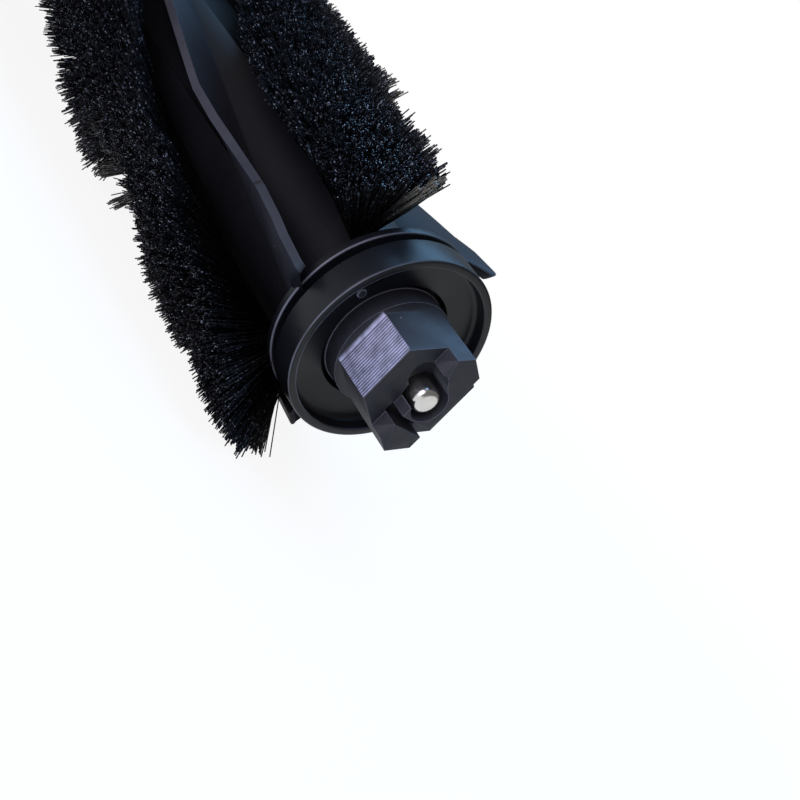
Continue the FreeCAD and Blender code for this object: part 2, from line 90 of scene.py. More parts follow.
def mapRange(tree, value, before, after=(0.0, 1.0)):
    inputs = {"Value": value}
    inputs["From Min"], inputs["From Max"] = before
    inputs["To Min"], inputs["To Max"] = after
    return addNode(tree, "ShaderNodeMapRange", inputs).outputs[0]


def objectSpot(tree):
    return addNode(tree, "ShaderNodeTexCoord").outputs["Object"]


def attribute(tree, name):
    return addNode(tree, "ShaderNodeAttribute", attribute_name=name).outputs["Fac"]


def addObject(name, data):
    made = bpy.data.objects.new(name, data)
    bpy.context.scene.collection.objects.link(made)
    return made


# camera, set by the photograph: first for the brush as it was held, then turned with it

cameraView = {
    "azimuth": -26.4,
    "elevation": 47.8,
    "distance": 175.8 * mm,
    "asideOfBearing": 0.9 * mm,
    "aboveBearing": -6.0 * mm,
    "lens": 63.0,
    "sensor": 36.0,
    "clip": (0.01, 20.0),
}


def turnWithBrush(v):
    c, s = math.cos(math.radians(restTurn)), math.sin(math.radians(restTurn))
    return Vector((v.x * c - v.z * s, v.y, v.x * s + v.z * c))


def makeCamera(p):
    a, e = math.radians(p["azimuth"]), math.radians(p["elevation"])
    back = Vector((math.sin(a) * math.cos(e), -math.cos(a) * math.cos(e), math.sin(e)))
    back = turnWithBrush(back)
    right = turnWithBrush(Vector((math.cos(a), math.sin(a), 0.0)))
    up = back.cross(right)
    data = bpy.data.cameras.new("photoCamera")
    data.lens = p["lens"]
    data.sensor_width = p["sensor"]
    data.clip_start, data.clip_end = p["clip"]
    camera = addObject("photoCamera", data)
    spot = right * p["asideOfBearing"] + up * p["aboveBearing"] + back * p["distance"]
    turn = Matrix((right, up, back)).transposed()
    camera.matrix_world = Matrix.Translation(spot) @ turn.to_4x4()
    bpy.context.scene.camera = camera
    return right, up, back


camRight, camUp, camBack = makeCamera(cameraView)
print("camera set")

# surface effects and values that the dark moulded finishes share

moulding = {
    "grainDetail": 2.0,
    "cloudDetail": 4.0,
    "roughFrom": (0.3, 0.7),
    "patchFrom": (0.3, 0.6),
    "patchTo": (0.4, 1.0),
    "bumpReach": 0.1 * mm,
    "edgeSamples": 6,
    "edgeGain": 5.0,
}


def newGroup(name, inputs, outputs):
    tree = bpy.data.node_groups.new(name, "ShaderNodeTree")
    for way, sockets in (("INPUT", inputs), ("OUTPUT", outputs)):
        for socket in sockets:
            tree.interface.new_socket(socket, in_out=way, socket_type="NodeSocketFloat")
    given = tree.nodes.new("NodeGroupInput").outputs
    return tree, given, tree.nodes.new("NodeGroupOutput").inputs


def makeGrainGroup():
    tree, given, result = newGroup("mouldGrain", ["Scale", "Cloud Scale"], ["Grain", "Cloud"])
    spot = objectSpot(tree)
    fine = noise(tree, spot, given["Scale"], moulding["grainDetail"])
    cloud = noise(tree, spot, given["Cloud Scale"], moulding["cloudDetail"])
    tree.links.new(fine, result["Grain"])
    tree.links.new(cloud, result["Cloud"])
    return tree


def makeSpeckGroup():
    tree, given, result = newGroup("dustSpecks", ["Scale", "Size", "Share"], ["Mask"])
    inputs = {"Vector": objectSpot(tree), "Scale": given["Scale"]}
    cells = addNode(tree, "ShaderNodeTexVoronoi", inputs)
    near = mathNode(tree, "LESS_THAN", cells.outputs["Distance"], given["Size"])
    pick = addNode(tree, "ShaderNodeSeparateColor", {0: cells.outputs["Color"]}).outputs[0]
    chosen = mathNode(tree, "LESS_THAN", pick, given["Share"])
    tree.links.new(mathNode(tree, "MULTIPLY", near, chosen), result["Mask"])
    return tree


grainGroup = makeGrainGroup()
speckGroup = makeSpeckGroup()


def useGroup(tree, group, values):
    made = tree.nodes.new("ShaderNodeGroup")
    made.node_tree = group
    for key, value in values.items():
        made.inputs[key].default_value = value
    return made.outputs


finishes = {
    "capPlastic": {
        "dark": (0.0035, 0.0035, 0.0046), "light": (0.0065, 0.0066, 0.0084),
        "rough": (0.3, 0.42), "specular": 0.25, "grain": 5200.0, "depth": 0.05, "cloud": 160.0,
        "dustAndGlintSpeck": (0.09, 0.09, 0.095), "speckScale": 420.0, "speckSize": 0.035, "speckShare": 0.22,
        # lighter colour for the painted highlight on the cups' edges and peg
        "paintedHighlightAndWear": (0.14, 0.135, 0.155),
    },
    "bushPlastic": {
        "dark": (0.011, 0.0106, 0.0145), "light": (0.017, 0.0165, 0.022),
        "rough": (0.55, 0.66), "specular": 0.4, "grain": 4200.0, "depth": 0.09, "cloud": 700.0,
        "dustAndGlintSpeck": (0.2, 0.2, 0.22), "speckScale": 520.0, "speckSize": 0.05, "speckShare": 0.2,
        # the violet colour is the painted highlight on the rib crests, the last colour the painted
        # highlight along every edge
        "paintedHighlightAndWear": (0.5, 0.46, 0.62), "edge": 0.12 * mm, "edgeWorn": (0.13, 0.125, 0.15),
    },
    "corePlastic": {
        "dark": (0.005, 0.0048, 0.006), "light": (0.0078, 0.0075, 0.0094),
        "rough": (0.42, 0.54), "specular": 0.2, "grain": 3600.0, "depth": 0.04, "cloud": 90.0,
        "dustAndGlintSpeck": (0.05, 0.05, 0.055), "speckScale": 300.0, "speckSize": 0.03, "speckShare": 0.2,
    },
    "bladeRubber": {
        "dark": (0.012, 0.0114, 0.0144), "light": (0.021, 0.01995, 0.0249),
        "rough": (0.48, 0.62), "specular": 0.16, "grain": 6000.0, "depth": 0.12, "cloud": 130.0,
        "dustAndGlintSpeck": (0.3, 0.29, 0.31), "speckScale": 330.0, "speckSize": 0.045, "speckShare": 0.3,
        "paintedHighlightAndWear": (0.039, 0.036, 0.041),
    },
    # near black with hardly any gloss: painted shade on the spines between the bristle rows
    "spinePaintedShade": {
        "dark": (0.0006, 0.0006, 0.0007), "light": (0.001, 0.001, 0.0011),
        "rough": (0.7, 0.9), "specular": 0.04, "grain": 3600.0, "depth": 0.04, "cloud": 90.0,
        "dustAndGlintSpeck": (0.01, 0.01, 0.01), "speckScale": 300.0, "speckSize": 0.03, "speckShare": 0.2,
    },
}


def newMaterial(name):
    material = bpy.data.materials.new(name)
    material.use_nodes = True
    return material, material.node_tree, material.node_tree.nodes["Principled BSDF"]


# a Mix node's colour sockets are 6 and 7, and its colour result is 2
def mixColour(tree, share, a, b):
    made = addNode(tree, "ShaderNodeMix", {0: share}, data_type="RGBA")
    for index, value in ((6, a), (7, b)):
        if isinstance(value, bpy.types.NodeSocket):
            tree.links.new(value, made.inputs[index])
        else:
            made.inputs[index].default_value = (*value, 1.0)
    return made.outputs[2]


def mouldedFinish(name, p):
    material, tree, shader = newMaterial(name)
    grain = useGroup(tree, grainGroup, {"Scale": p["grain"], "Cloud Scale": p["cloud"]})
    dustAndGlintSpeck = useGroup(tree, speckGroup, {
        "Scale": p["speckScale"], "Size": p["speckSize"], "Share": p["speckShare"],
    })
    bump = addNode(tree, "ShaderNodeBump", {
        "Height": grain["Grain"], "Strength": p["depth"], "Distance": moulding["bumpReach"],
    })
    base = mixColour(tree, grain["Cloud"], p["dark"], p["light"])
    # lighter colour where the attribute says so: painted highlight on the cup edges, peg and rib crests,
    # wear on the blades' free edge
    if "paintedHighlightAndWear" in p:
        patchy = mapRange(tree, grain["Cloud"], moulding["patchFrom"], moulding["patchTo"])
        paintedHighlightAndWear = mathNode(tree, "MULTIPLY", attribute(tree, "paintedHighlightAndWear"), patchy)
        base = mixColour(tree, paintedHighlightAndWear, base, p["paintedHighlightAndWear"])
    # lighter colour along every edge: painted highlight; the bevel also rounds the shading normal
    if "edge" in p:
        bevel = addNode(tree, "ShaderNodeBevel", {"Radius": p["edge"]})
        bevel.samples = moulding["edgeSamples"]
        flat = addNode(tree, "ShaderNodeNewGeometry").outputs["Normal"]
        same = vectorNode(tree, "DOT_PRODUCT", bevel.outputs[0], flat)
        unlike = mathNode(tree, "SUBTRACT", 1.0, same)
        atEdge = mathNode(tree, "MULTIPLY", unlike, moulding["edgeGain"], clamp=True)
        base = mixColour(tree, atEdge, base, p["edgeWorn"])
        tree.links.new(bevel.outputs[0], bump.inputs["Normal"])
    base = mixColour(tree, dustAndGlintSpeck["Mask"], base, p["dustAndGlintSpeck"])
    rough = mapRange(tree, grain["Cloud"], moulding["roughFrom"], p["rough"])
    tree.links.new(base, shader.inputs["Base Color"])
    tree.links.new(rough, shader.inputs["Roughness"])
    tree.links.new(bump.outputs[0], shader.inputs["Normal"])
    shader.inputs["Specular IOR Level"].default_value = p["specular"]
    return material


darkFinish = {name: mouldedFinish(name, p) for name, p in finishes.items()}

pinSteel = {
    "dark": (0.52, 0.5, 0.47), "light": (0.78, 0.76, 0.73), "rough": (0.16, 0.34),
    "scratch": 900.0, "scratchDetail": 5.0, "stretch": (1.0, 0.08, 1.0),
}


def steelFinish(name, p):
    material, tree, shader = newMaterial(name)
    inputs = {"Vector": objectSpot(tree), "Scale": p["stretch"]}
    lines = addNode(tree, "ShaderNodeMapping", inputs).outputs[0]
    turned = noise(tree, lines, p["scratch"], p["scratchDetail"])
    base = mixColour(tree, turned, p["dark"], p["light"])
    rough = mapRange(tree, turned, (0.0, 1.0), p["rough"])
    tree.links.new(base, shader.inputs["Base Color"])
    tree.links.new(rough, shader.inputs["Roughness"])
    shader.inputs["Metallic"].default_value = 1.0
    return material


steelMaterial = steelFinish("pinSteel", pinSteel)

# rough and specular go from a few glossy patches to the matte rest
nylon = {
    "root": (0.001, 0.001, 0.0012), "tip": (0.0052, 0.0052, 0.0078), "tipPower": 3.0,
    # lighter brownish tip colour: painted backlight on the bristle tips
    "paintedLight": (0.11, 0.095, 0.068), "backlightPower": 2.0,
    # light specks near the tips: painted glints, partly dust
    "dustAndGlintSpeck": (0.2, 0.2, 0.225), "speckScale": 2200.0, "glintDetail": 0.0, "glintFrom": (0.69, 0.75),
    "patch": 1400.0, "patchDetail": 1.0, "patchFrom": (0.36, 0.5),
    "rough": (0.12, 0.58), "specular": (0.9, 0.22),
}


def bristleFinish(name, p):
    material, tree, shader = newMaterial(name)
    late = mathNode(tree, "POWER", attribute(tree, "alongBristle"), p["tipPower"])
    base = mixColour(tree, late, p["root"], p["tip"])
    # the tips of the chosen bristles take the lighter colour: painted backlight
    latest = mathNode(tree, "POWER", late, p["backlightPower"])
    paintedLight = mathNode(tree, "MULTIPLY", attribute(tree, "paintedLight"), latest)
    base = mixColour(tree, paintedLight, base, p["paintedLight"])
    spot = objectSpot(tree)
    # sparse light specks towards the tips: painted glints, partly dust
    dustAndGlintSpeck = mapRange(tree, noise(tree, spot, p["speckScale"], p["glintDetail"]), p["glintFrom"])
    base = mixColour(tree, mathNode(tree, "MULTIPLY", dustAndGlintSpeck, late), base, p["dustAndGlintSpeck"])
    tree.links.new(base, shader.inputs["Base Color"])
    patch = noise(tree, spot, p["patch"], p["patchDetail"])
    for socket, ends in (("Roughness", p["rough"]), ("Specular IOR Level", p["specular"])):
        tree.links.new(mapRange(tree, patch, p["patchFrom"], ends), shader.inputs[socket])
    return material


bristleMaterial = bristleFinish("bristleNylon", nylon)
print("finishes made")

# turned pieces, in mm: corners of a profile as (radius, along, rounding), spun about the roller's axis

turning = {
    "segments": 160,
    "arcSteps": 4,
    "onAxis": 1e-7,
    "sharp": 38.0,
    "barRounding": 0.3 * mm,
    "barSteps": 3,
    # reach, side and least strength of the painted edge highlight on the cups
    "highlightReach": 0.15,
    "highlightSide": 140.0,
    "highlightLeast": 0.12,
}

bearingCup = {
    "corners": [
        (13.1, 0.0, 0.25), (14.3, 0.0, 0.35), (14.3, 4.4, 0.2), (12.2, 4.4, 0.15),
        (12.2, 5.8, 0.15), (14.2, 5.8, 0.25), (14.2, 7.0, 0.2), (2.0, 7.0, 0.0),
        (2.0, 5.2, 0.0), (8.8, 5.2, 0.0), (8.8, 2.1, 0.15), (13.1, 2.0, 0.7),
    ],
    "spigotHalf": 4.5,
    "spigot": (7.0, 19.0),
    "peg": (0.3, 2.4),
    "pegRadius": 0.7,
    "pegRing": 12.0,
    "pegTurn": 108.7,
    "pegSegments": 24,
    # share of the peg's radius and depth below its top
    "pegCrown": [(1.0, 0.25), (0.88, 0.07), (0.62, 0.0)],
    # ring of painted highlight on the peg's top, and edges with painted highlight as (radius, along)
    "pegHighlight": (0.8, 0.95),
    "highlightEdges": [(13.1, 0.0), (14.3, 0.0), (14.2, 5.8)],
}

driveCup = {
    "corners": [
        (13.0, 160.0, 0.25), (14.2, 160.0, 0.35), (14.2, 153.0, 0.2),
        (0.0, 153.0, 0.0), (0.0, 158.0, 0.0), (13.0, 158.0, 0.7),
    ],
    "spigotHalf": 4.5,
    "spigot": (141.0, 153.0),
    "shankHalf": 3.5,
    "shank": (158.0, 168.0),
    "highlightEdges": [(13.0, 160.0), (14.2, 160.0)],
}

axlePin = {
    "corners": [
        (0.0, 19.0, 0.0), (2.0, 19.0, 0.1), (2.0, -9.2, 0.35), (1.5, -9.7, 0.4), (0.0, -9.75, 0.0),
    ],
}


def polar(radius, degrees):
    turn = math.radians(degrees)
    return Vector((radius * math.cos(turn), radius * math.sin(turn)))


def roundedCorners(corners, steps):
    spots = []
    count = len(corners)
    for i, (radius, along, rounding) in enumerate(corners):
        here = Vector((radius, along))
        if not rounding:
            spots.append(here)
            continue
        before = (Vector(corners[i - 1][:2]) - here).normalized() * rounding
        after = (Vector(corners[(i + 1) % count][:2]) - here).normalized() * rounding
        for k in range(steps + 1):
            t = k / steps
            spots.append(here + before * (1 - t) ** 2 + after * t * t)
    return [spot * mm for spot in spots]


def joinRings(shape, low, high):
    count = len(low)
    for i in range(count):
        k = (i + 1) % count
        shape.faces.new((low[i], high[i], high[k], low[k]))


def spin(shape, corners):
    count = turning["segments"]
    rings = []
    for spot in roundedCorners(corners, turning["arcSteps"]):
        if spot.x < turning["onAxis"]:
            rings.append([shape.verts.new((0.0, spot.y, 0.0))])
            continue
        ring = []
        for i in range(count):
            turn = 2 * math.pi * i / count
            place = (spot.x * math.cos(turn), spot.y, spot.x * math.sin(turn))
            ring.append(shape.verts.new(place))
        rings.append(ring)
    for low, high in zip(rings, rings[1:] + rings[:1]):
        if len(low) == len(high) == 1:
            continue
        if len(low) == len(high):
            joinRings(shape, low, high)
            continue
        for i in range(count):
            k = (i + 1) % count
            if len(low) == 1:
                shape.faces.new((low[0], high[i], high[k]))
            else:
                shape.faces.new((low[i], high[0], low[k]))


def squareBar(shape, half, span):
    block = bmesh.ops.create_cube(shape, size=1.0)["verts"]
    low, high = span
    for vert in block:
        along = (low + high) / 2 + vert.co.y * (high - low)
        vert.co = Vector((vert.co.x * 2 * half, along, vert.co.z * 2 * half)) * mm
    edges = dict.fromkeys(edge for vert in block for edge in vert.link_edges)
    bmesh.ops.bevel(
        shape, geom=list(edges), offset=turning["barRounding"], segments=turning["barSteps"],
        profile=0.5, affect="EDGES",
    )


def pegCentre(p):
    return polar(p["pegRing"], p["pegTurn"] + restTurn)


def roundPeg(shape, p):
    top, foot = p["peg"]
    levels = [(1.0, foot)] + [(share, top + below) for share, below in p["pegCrown"]]
    rings = []
    for share, along in levels:
        ring = []
        for i in range(p["pegSegments"]):
            spot = pegCentre(p) + polar(p["pegRadius"] * share, 360.0 * i / p["pegSegments"])
            ring.append(shape.verts.new(Vector((spot.x, along, spot.y)) * mm))
        rings.append(ring)
    for low, high in zip(rings[:-1], rings[1:]):
        joinRings(shape, low, high)
    shape.faces.new(rings[0])
    shape.faces.new(rings[-1])


def newPiece(name, shape, material, sharp):
    bmesh.ops.recalc_face_normals(shape, faces=shape.faces)
    mesh = bpy.data.meshes.new(name)
    shape.to_mesh(mesh)
    shape.free()
    mesh.shade_smooth()
    mesh.set_sharp_from_angle(angle=math.radians(sharp))
    mesh.materials.append(material)
    return addObject(name, mesh)


def standFor(piece, node, body):
    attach(piece, body)
    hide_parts(node)
    print(piece.name, len(piece.data.polygons), "faces")


# painted highlight: a lighter colour on the named edges and round the peg's top, strongest on one side,
# where light would catch them
def paintEdgeHighlight(piece, p):
    paintedHighlightAndWear = piece.data.attributes.new("paintedHighlightAndWear", "FLOAT", "POINT")
    for vert in piece.data.vertices:
        x, y, z = vert.co / mm
        spot = (math.hypot(x, z), y)
        paintedLight = any(math.dist(spot, edge) < turning["highlightReach"] for edge in p["highlightEdges"])
        if "peg" in p and y < p["peg"][1]:
            low, high = p["pegHighlight"]
            paintedLight = paintedLight or low < math.dist((x, z), pegCentre(p)) / p["pegRadius"] < high
        facing = math.cos(math.atan2(z, x) - math.radians(turning["highlightSide"] + restTurn))
        paintedHighlightAndWear.data[vert.index].value = max(turning["highlightLeast"], facing) if paintedLight else 0.0


def turnedPiece(name, p, material):
    shape = bmesh.new()
    spin(shape, p["corners"])
    if "spigot" in p:
        squareBar(shape, p["spigotHalf"], p["spigot"])
    if "shank" in p:
        squareBar(shape, p["shankHalf"], p["shank"])
    if "peg" in p:
        roundPeg(shape, p)
    piece = newPiece(name, shape, material, turning["sharp"])
    if "highlightEdges" in p:
        paintEdgeHighlight(piece, p)
    return piece


piece = turnedPiece("bearingCup", bearingCup, darkFinish["capPlastic"])
standFor(piece, "bearing_end_cap", "roller")
piece = turnedPiece("driveCup", driveCup, darkFinish["capPlastic"])
standFor(piece, "drive_end_cap", "roller")
piece = turnedPiece("axlePin", axlePin, steelMaterial)
standFor(piece, "axle_pin", "roller")

# bush and core: the frame's own solids; the bush gets a bead round its collar and a painted highlight on
# its ribs, lighter towards each crest

mergeReach = 0.002 * mm

bush = {
    "bead": [(8.0, 4.6, 0.0), (8.3, 4.6, 0.0), (8.3, 2.5, 0.1), (8.0, 2.5, 0.0)],
    "sharp": 25.0,
    "ribbedTurn": 130.3,
    "ribFloor": 6.8 * mm,
    "ribDepth": 0.2 * mm,
    "ribbed": (-7.35 * mm, -0.85 * mm),
}

core = {"sharp": 20.0}


def mergedCopy(node):
    shape = bmesh.new()
    shape.from_mesh(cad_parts[node].data)
    bmesh.ops.remove_doubles(shape, verts=shape.verts, dist=mergeReach)
    return shape


def makeBush(name, p):
    shape = mergedCopy("bearing_bush")
    spin(shape, p["bead"])
    piece = newPiece(name, shape, darkFinish["bushPlastic"], p["sharp"])
    # rib crests get the lighter colour and grooves keep the dark one: painted highlight
    paintedHighlightAndWear = piece.data.attributes.new("paintedHighlightAndWear", "FLOAT", "POINT")
    outward = polar(1.0, p["ribbedTurn"] + restTurn)
    for vert in piece.data.vertices:
        if p["ribbed"][0] < vert.co.y < p["ribbed"][1]:
            out = vert.co.x * outward.x + vert.co.z * outward.y
            share = (out - p["ribFloor"]) / p["ribDepth"]
            paintedHighlightAndWear.data[vert.index].value = min(1.0, max(0.0, share))
    return piece


standFor(makeBush("hexBush", bush), "bearing_bush", "bush")
piece = newPiece("coreBar", mergedCopy("roller_core"), darkFinish["corePlastic"], core["sharp"])
standFor(piece, "roller_core", "roller")

# path of the blades and bristle rows: the root turns evenly to mid length, the free edge lags behind

vPath = {
    "rimSpan": 160.0 * mm,
    "flangeBack": 7.0 * mm,
    "rootStart": 149.0,
    "rootRate": 0.92 / mm,
    "tipStart": 125.5,
    "tipBend": 118.5,
    "tipMiddle": 95.5,
    "bendAlong": 36.0 * mm,
    "stripTurn": 120.0,
}
midLength = vPath["rimSpan"] / 2


def fromEnd(y):
    return min(y, vPath["rimSpan"] - y) - vPath["flangeBack"]


def rootAngle(y):
    return vPath["rootStart"] - vPath["rootRate"] * fromEnd(y) + restTurn


def tipAngle(y):
    along = max(fromEnd(y), 0.0)
    bend = vPath["bendAlong"]
    whole = midLength - vPath["flangeBack"]
    start, middle, end = vPath["tipStart"], vPath["tipBend"], vPath["tipMiddle"]
    if along <= bend:
        turn = start + (middle - start) * along / bend
    else:
        turn = middle + (end - middle) * (along - bend) / (whole - bend)
    return turn + restTurn


# value at a place in a table of (place, value, value...) lines
def between(table, place):
    for before, after in zip(table[:-1], table[1:]):
        if place <= after[0]:
            t = max(0.0, (place - before[0]) / (after[0] - before[0]))
            return [a + (b - a) * t for a, b in zip(before[1:], after[1:])]
    return list(table[-1][1:])


def beside(degrees, radial, aside):
    out = polar(1.0, degrees)
    return out * radial + Vector((-out.y, out.x)) * aside


def spread(start, end, count):
    return [start + (end - start) * i / (count - 1) for i in range(count)]


def halvesFrom(first):
    return {"near": (first, midLength), "far": (midLength, vPath["rimSpan"] - first)}


# rubber blades

blade = {
    "stations": 90,
    "sharp": 40.0,
    "coreRadius": 10.0 * mm,
    "seatRadius": 8.4 * mm,
    "slotBottom": 1.7 * mm,
    "slotNeck": 1.2 * mm,
    "kneeRadius": 14.85 * mm,
    "kneeShare": 0.18,
    "bow": 0.45,
    "edgeRadius": 17.3 * mm,
    "neckHalf": 1.1 * mm,
    "edgeHalf": 0.6 * mm,
    "thinning": 1.6,
    "over": 2.8 * mm,
    "overReach": 4.0 * mm,
    "wallSteps": 8,
    "wallTop": 0.97,
    "cornerRounds": [0.1 * mm, 0.3 * mm, 0.6 * mm, 1.0 * mm],
    "cornerCut": 0.9 * mm,
    "nick": {
        "piece": "rubberBlade_a_near", "along": 20.8 * mm, "half": 0.3 * mm, "depth": 0.15 * mm,
        "stations": (-1.0, -0.5, 0.5, 1.0), "floor": 0.6,
    },
    # place along the roller in mm and how far the flap hangs there, in degrees
    "hang": {
        "a": [(7, 1.2), (14, 3.2), (20, 3.8), (27, 2.4), (36, 0.5), (46, 0), (80, 0)],
        "b": [(7, 22), (37, 0), (80, 0)],
        "c": [(7, 0), (12, 4), (17, 8), (30, 14), (50, 0), (80, 0)],
    },
}


def bladeSection(y, step, hang, p):
    root = rootAngle(y) + step
    tip = tipAngle(y) + step - hang
    foot = polar(p["coreRadius"], root)
    knee = polar(p["kneeRadius"], root + (tip - root) * p["kneeShare"])
    short = max(0.0, 1.0 - fromEnd(y) / p["cornerRounds"][-1]) ** 2 * p["cornerCut"]
    edge = polar(p["edgeRadius"] - short, tip)
    straight = (foot + edge) / 2
    knee = straight + (knee - straight) * p["bow"]
    left, right = [], []
    for t in spread(0.0, p["wallTop"], p["wallSteps"]) + [1.0]:
        spot = foot * (1 - t) ** 2 + knee * 2 * t * (1 - t) + edge * t * t
        run = ((knee - foot) * (1 - t) + (edge - knee) * t).normalized()
        half = p["neckHalf"] + (p["edgeHalf"] - p["neckHalf"]) * min(1.0, p["thinning"] * t)
        across = Vector((-run.y, run.x)) * half
        left.append(spot + across)
        right.append(spot - across)
    low = [beside(root, p["seatRadius"], side * p["slotBottom"]) for side in (1, -1)]
    neck = [beside(root, p["coreRadius"], side * p["slotNeck"]) for side in (1, -1)]
    return [low[0], neck[0]] + left[1:] + list(reversed(right[1:])) + [neck[1], low[1]]


def makeBlade(name, step, start, end, hangs, p):
    shape = bmesh.new()
    rubbedLayer = shape.verts.layers.float.new("paintedHighlightAndWear")
    nick = p["nick"]
    nicked = name == nick["piece"]
    isNear = start < midLength
    along = spread(start, end, p["stations"])
    along += [start + part if isNear else end - part for part in p["cornerRounds"]]
    if nicked:
        along += [nick["along"] + part * nick["half"] for part in nick["stations"]]
    rings = []
    for y in sorted(along):
        section = bladeSection(y, step, between(hangs, y / mm)[0], p)
        if nicked and abs(y - nick["along"]) < nick["floor"] * nick["half"]:
            reach = p["edgeRadius"] - nick["depth"]
            section = [spot * min(1.0, reach / spot.length) for spot in section]
        # the free corner reaches over the flange
        near = max(0.0, 1.0 - fromEnd(y) / p["overReach"])
        over = p["over"] * near * (-1 if y < midLength else 1)
        ring = []
        for spot in section:
            high = (spot.length - p["kneeRadius"]) / (p["edgeRadius"] - p["kneeRadius"])
            ring.append(shape.verts.new((spot.x, y + over * max(0.0, high), spot.y)))
        rings.append(ring)
    count = len(rings[0])
    for a, b in zip(rings[:-1], rings[1:]):
        for j in range(count):
            k = (j + 1) % count
            shape.faces.new((a[j], a[k], b[k], b[j]))
    shape.faces.new(list(reversed(rings[0])))
    shape.faces.new(rings[-1])
    for ring in rings:
        for vert in ring[count // 2 - 1:count // 2 + 1]:
            vert[rubbedLayer] = 1.0
    return newPiece(name, shape, darkFinish["bladeRubber"], p["sharp"])


for index, letter in enumerate("abc"):
    for half, (start, end) in halvesFrom(vPath["flangeBack"]).items():
        name = "rubberBlade_%s_%s" % (letter, half)
        step = index * vPath["stripTurn"]
        piece = makeBlade(name, step, start, end, blade["hang"][letter], blade)
        standFor(piece, "rubber_blade_%s_%s" % (letter, half), "roller")
print("blades made")

# bristles: scattered over each spine's top, each aimed at its place on the fan of tips

bristles = {
    "spineRadius": 11.0 * mm,
    "spineHalf": 1.4 * mm,
    "first": 10.0 * mm,
    "leanOver": 22.0 * mm,
    "stations": 60,
    "columns": 9,
    "strayHalf": 0.4 * mm,
    "strayFan": 4.0,
    "strayCorners": [(-1, 0.3), (-1, -0.3), (1, -0.3), (1, 0.3)],
    "strayMore": 1.4,
    "shorterPower": 2.0,
    "slimmer": 0.6,
    "lineSpots": 3,
    "sides": 3,
    "farBelow": -1.0,
    "seed": 11,
    "inputs": {
        "Thickness": 0.1 * mm,
        "Shorter": 0.14,
        "Jitter": 0.45 * mm,
        "Stray": 0.025,
        "Tuft": 0.2,
        "Tuft Size": 3.4 * mm,
        "Clump": 0.6,
        "Clump Size": 1.1 * mm,
        "Bend": 0.9 * mm,
        "Floor": cadBox[0].z,
    },
}

# edges of a row's fan: place of the tips along the roller in mm, lower and upper edge in degrees,
# tip radius in mm; strays: root and tip along the roller, tip's turn and radius, share of painted
# backlight on the tips
rowShapes = {
    "plain": {
        "Density": 4.4e7, "lean": 7.0, "leanLess": 0.3,
        "edges": [
            (4, 98, 148, 21.9), (30, 92, 146, 21.9), (43, 82, 140, 21.9), (54, 70, 122, 21.9),
            (63, 58, 108, 21.9), (72, 48, 98, 21.9), (80, 42, 94, 21.9),
        ],
        "strays": [],
    },
    "left": {
        "Density": 6e7, "lean": 12.5, "leanLess": 0.6,
        "edges": [
            (-3, 104, 154, 23.3), (0, 100, 156, 23.8), (3, 96, 157, 24.0), (6, 93, 156, 24.0),
            (9, 92, 152, 23.1), (12, 91, 150, 22.3), (18, 91, 148, 22.9), (24, 89, 148, 23.2),
            (28, 80, 143, 22.8), (33, 77, 120, 21.9), (40, 77, 103, 22.0), (52.8, 66, 104, 22.0),
            (56.6, 60, 138, 22.1), (62, 54, 130, 22.1), (67, 50, 113, 22.1), (72, 46, 101, 22.1),
            (80, 40, 95, 22.1),
        ],
        "strays": [
            (47, 57.5, 131, 21.5, 0.4), (46, 55.5, 128, 21.2, 0.4), (43, 48.8, 133, 21.3, 0.4),
            (12, 2, 149.5, 22, 0.1), (11.5, 1.2, 151, 22, 0.1),
        ],
    },
    "right": {
        "Density": 6e7, "lean": 3.5, "leanLess": 0.0,
        "edges": [
            (4, 124, 156, 21.2), (8, 117, 157, 21.5), (12, 113, 158, 21.7), (18, 108, 159, 21.8),
            (22, 110, 159, 21.5), (26, 110, 159, 21.4), (30, 106.5, 159, 21.4), (35, 101.5, 158, 21.5),
            (41, 95, 155, 21.5), (51, 78, 147, 21.6), (63, 58, 129, 21.9), (72, 46, 101, 21.9),
            (80, 40, 95, 21.9),
        ],
        "strays": [
            (10.5, 6.75, 121.5, 21.9, 1.0), (10.5, 5, 127.5, 21.9, 1.0), (10.5, 4, 133, 21.9, 1.0),
            (33, 31, 101, 22.2, 1.0), (36, 34, 100, 22.2, 1.0), (39, 37.5, 98, 21.9, 1.0),
        ],
    },
    "under": {
        "Density": 4.4e7, "lean": 0.0, "leanLess": 0.0,
        "edges": [
            (10, 92, 128, 21.6), (24, 90, 140, 21.9), (41, 80, 146, 21.9), (51, 70, 141, 21.9),
            (63, 56, 126, 21.9), (72, 46, 105, 21.9), (80, 40, 95, 21.9),
        ],
        "strays": [],
    },
}
nearShapes = {"a": "left", "b": "under", "c": "right"}


